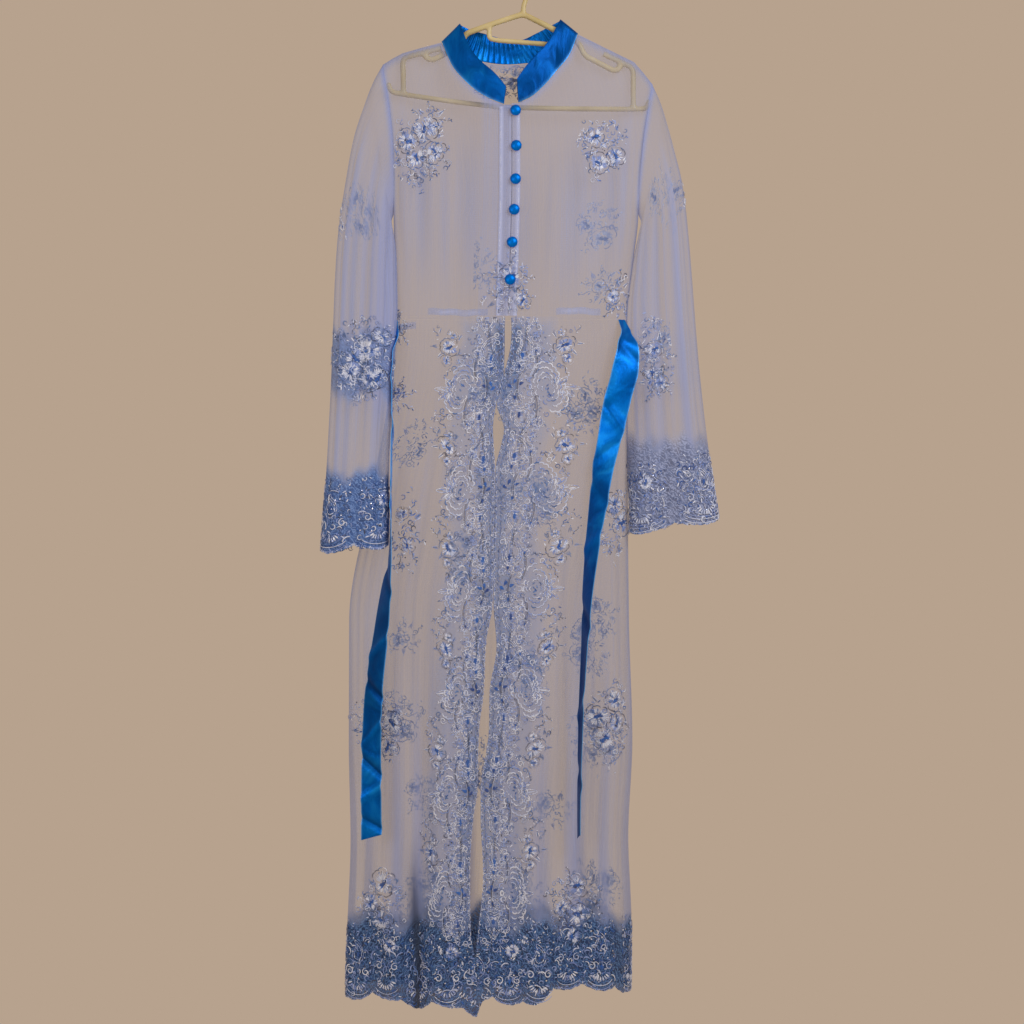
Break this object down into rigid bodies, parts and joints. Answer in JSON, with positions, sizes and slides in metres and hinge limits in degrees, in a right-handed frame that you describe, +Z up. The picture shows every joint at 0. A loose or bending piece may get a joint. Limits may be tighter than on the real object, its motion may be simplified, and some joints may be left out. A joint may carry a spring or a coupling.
{
  "type": "long sheer embroidered kebaya coat on a hanger",
  "caption": "Floor-length sheer long-sleeved kebaya coat with satin stand collar, covered buttons and waist ties, hanging on a plastic clothes hanger.",
  "frame": {"origin": "underside of the hook's crown, where the hanger rests on a rail", "axes": "+Z up, -Y the front of the garment, -X the picture's left"},
  "size_m": [0.5837, 0.1734, 1.5387],
  "materials": {
    "hanger_plastic": "moulded pale yellow plastic",
    "satin": "bright blue satin",
    "tulle": "sheer lavender tulle",
    "placket_tulle": "folded tulle, several layers",
    "embroidered_tulle": "sheer tulle with blue and silver thread embroidery"
  },
  "bodies": {
    "root": {"hanger": "hanger_plastic", "collar_front_left": "satin", "collar_front_right": "satin", "collar_back": "satin", "bodice_front_left": "tulle", "bodice_front_right": "tulle", "bodice_back": "tulle", "placket": "placket_tulle", "button_1": "satin", "button_2": "satin", "button_3": "satin", "button_4": "satin", "button_5": "satin", "button_6": "satin", "sleeve_left": "tulle", "sleeve_right": "tulle", "skirt_front_left": "embroidered_tulle", "skirt_front_right": "embroidered_tulle", "skirt_back": "embroidered_tulle", "tie_left": "satin", "tie_right": "satin"}
  },
  "joints": []
}
